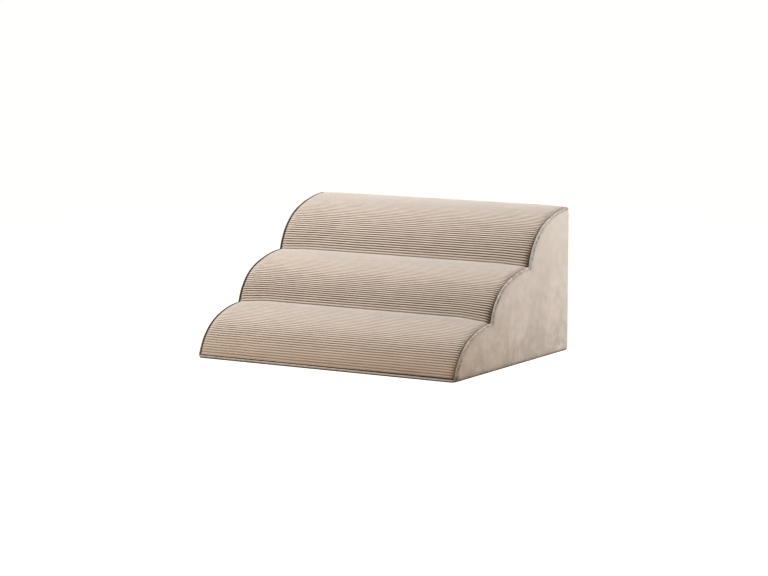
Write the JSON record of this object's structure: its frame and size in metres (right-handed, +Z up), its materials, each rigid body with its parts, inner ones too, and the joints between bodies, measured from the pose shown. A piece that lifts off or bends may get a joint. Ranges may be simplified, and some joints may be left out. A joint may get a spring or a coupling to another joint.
{
  "type": "pet stairs",
  "caption": "Low foam pet stairs with scalloped treads, in a removable zipped cover of ribbed corduroy and suede, for a small pet climbing to a bed or sofa.",
  "frame": {"origin": "centre of the footprint, on the floor under the stairs", "axes": "+X across the width, +Y from the lowest step to the high back, +Z up"},
  "size_m": [0.6, 0.4846, 0.2999],
  "materials": {
    "core_foam": "matte",
    "comfort_foam": "matte",
    "liner_cloth": "matte",
    "hold_tape": "matte",
    "corduroy": "matte",
    "suede": "matte",
    "grip_cloth": "matte",
    "piping_cloth": "matte",
    "hem_cloth": "matte",
    "zip_tape": "matte",
    "zip_coil": "satin",
    "zip_metal": "satin"
  },
  "bodies": {
    "stairs": {"foam_tier_lower": "core_foam", "foam_tier_middle": "core_foam", "foam_tier_upper": "core_foam", "comfort_foam_lower": "comfort_foam", "comfort_foam_middle": "comfort_foam", "comfort_foam_upper": "comfort_foam", "liner_tread_sheet": "liner_cloth", "liner_side_left": "liner_cloth", "liner_side_right": "liner_cloth", "liner_back": "liner_cloth", "liner_bottom": "liner_cloth", "valley_hook_tapes": "hold_tape", "valley_loop_tapes": "hold_tape", "tread_cover_lower": "corduroy", "tread_cover_middle": "corduroy", "tread_cover_upper": "corduroy", "side_cover_left": "suede", "side_cover_right": "suede", "back_cover": "suede", "back_skirt": "suede", "bottom_cover": "grip_cloth", "side_piping_left": "piping_cloth", "side_piping_right": "piping_cloth", "front_piping": "piping_cloth", "front_hem_band": "hem_cloth", "zip_tape_upper": "zip_tape", "zip_tape_lower": "zip_tape", "zip_coil_upper": "zip_coil", "zip_coil_lower": "zip_coil", "zip_top_stops": "zip_metal", "zip_bottom_stop": "zip_metal", "zip_end_tabs": "suede"},
    "slider": {"zip_slider": "zip_metal"},
    "pull": {"zip_pull": "zip_metal"}
  },
  "joints": [
    {"name": "zip_slide", "type": "slide", "parent": "stairs", "child": "slider", "axis": [-1, 0, 0], "range_m": [0, 0.5434]},
    {"name": "zip_pull_tilt", "type": "hinge", "parent": "slider", "child": "pull", "pos_m": [0.2717, 0.24265, 0.042], "axis": [0, 0, -1], "range_deg": [0, 170]}
  ]
}
